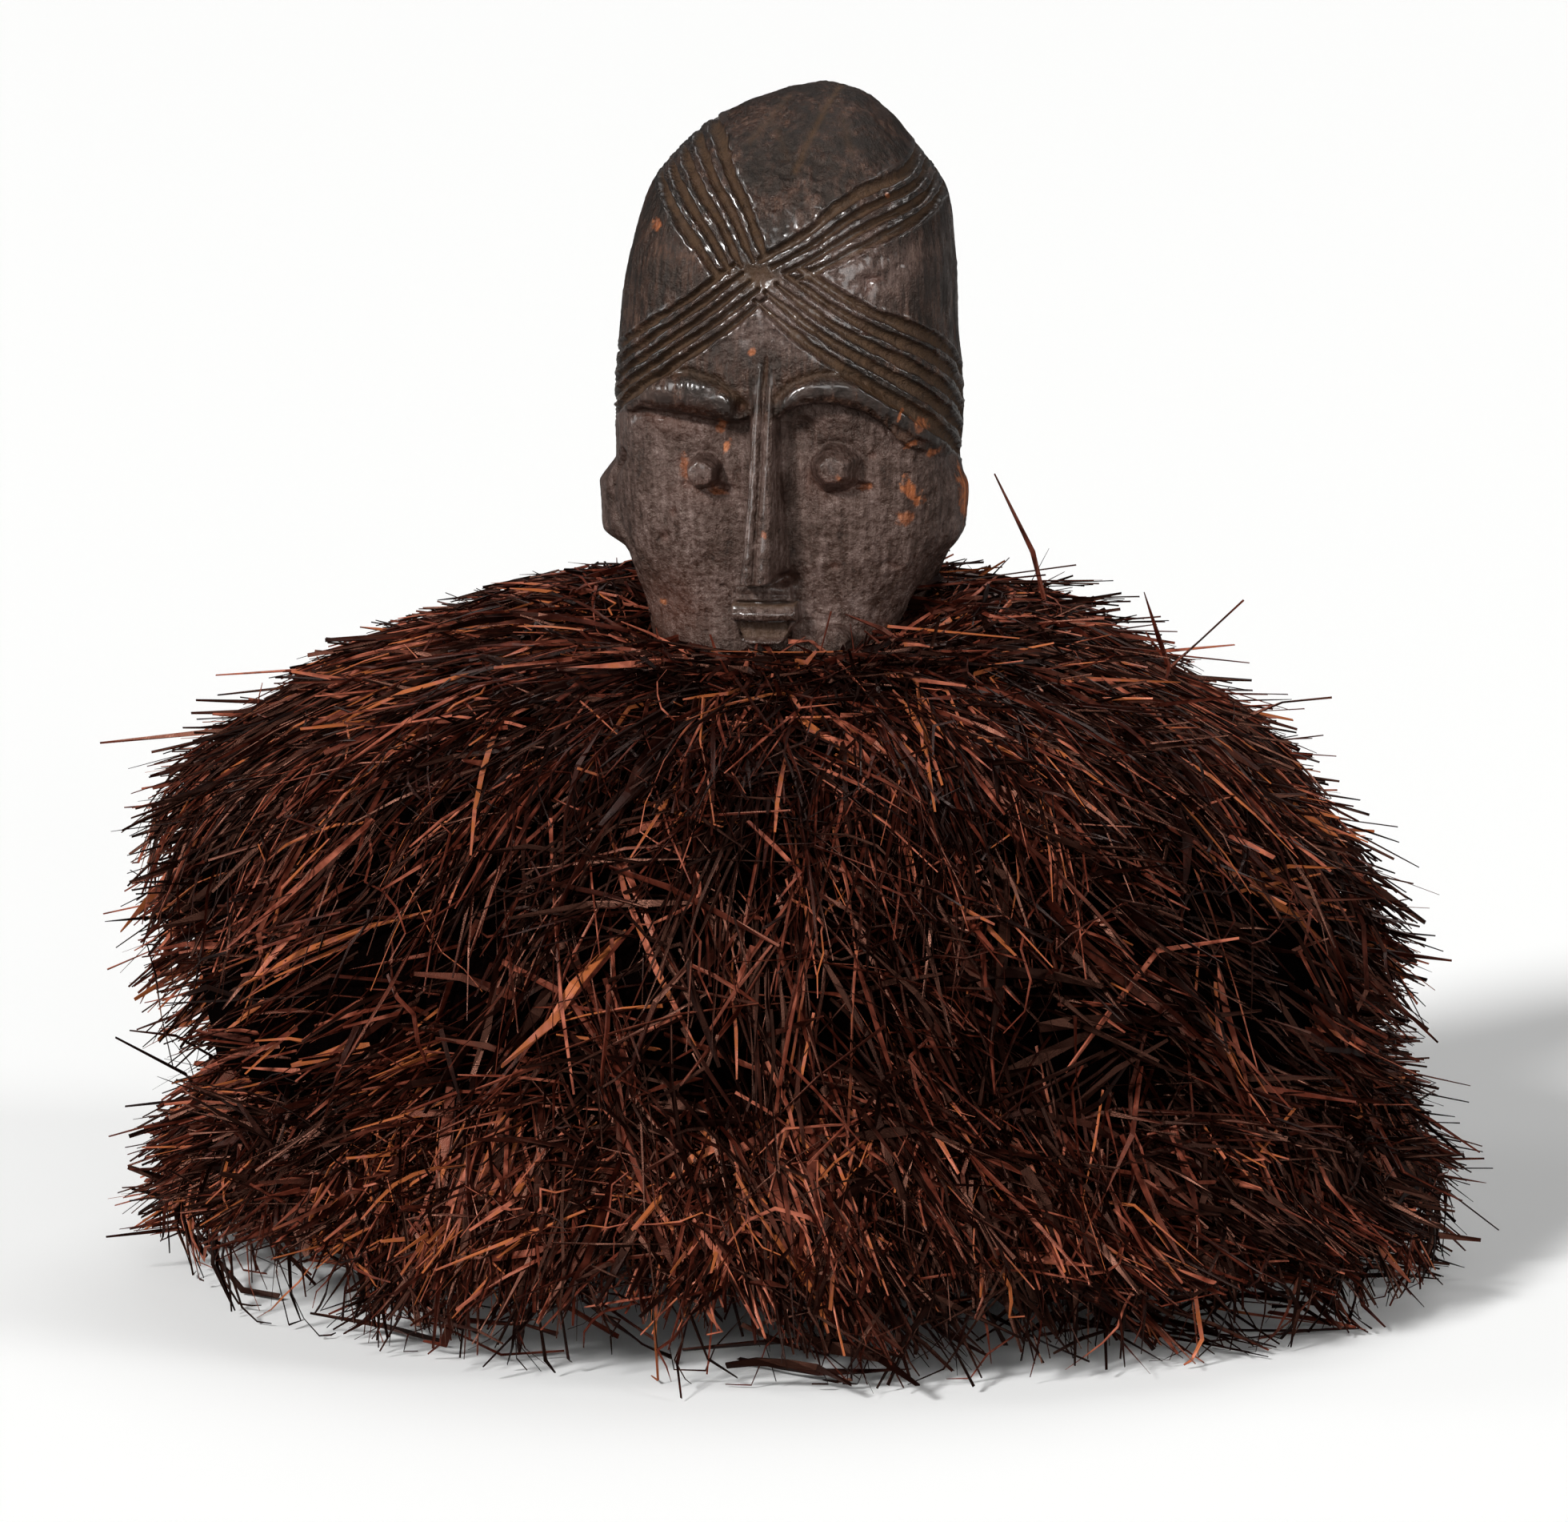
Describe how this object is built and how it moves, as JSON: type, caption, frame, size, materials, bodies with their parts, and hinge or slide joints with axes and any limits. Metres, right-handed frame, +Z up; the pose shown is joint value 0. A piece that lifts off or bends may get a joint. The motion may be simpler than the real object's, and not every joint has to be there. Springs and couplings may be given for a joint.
{
  "type": "crest headdress",
  "caption": "Carved wooden crest head with crossing bands of channels, standing in two rows of dried plant fibre that hide the wearer's head.",
  "frame": {"origin": "middle of the bounding box on the surface that the fibre tips stand on, close under the neck", "axes": "+Z up through the neck to the crown, -Y the way the face looks, +X the viewer's right in front of the face"},
  "size_m": [0.5844, 0.5452, 0.5105],
  "materials": {
    "dark_wood": "carved hardwood, dark brown-black and half glossy from handling, with dust in the channels and a few worn orange-brown spots",
    "plant_fibre": "dried plant strips, blackish to reddish brown with satin sheen"
  },
  "bodies": {
    "root": {"carved_head": "dark_wood", "upper_fibre_row": "plant_fibre", "lower_fibre_row": "plant_fibre"}
  },
  "joints": []
}
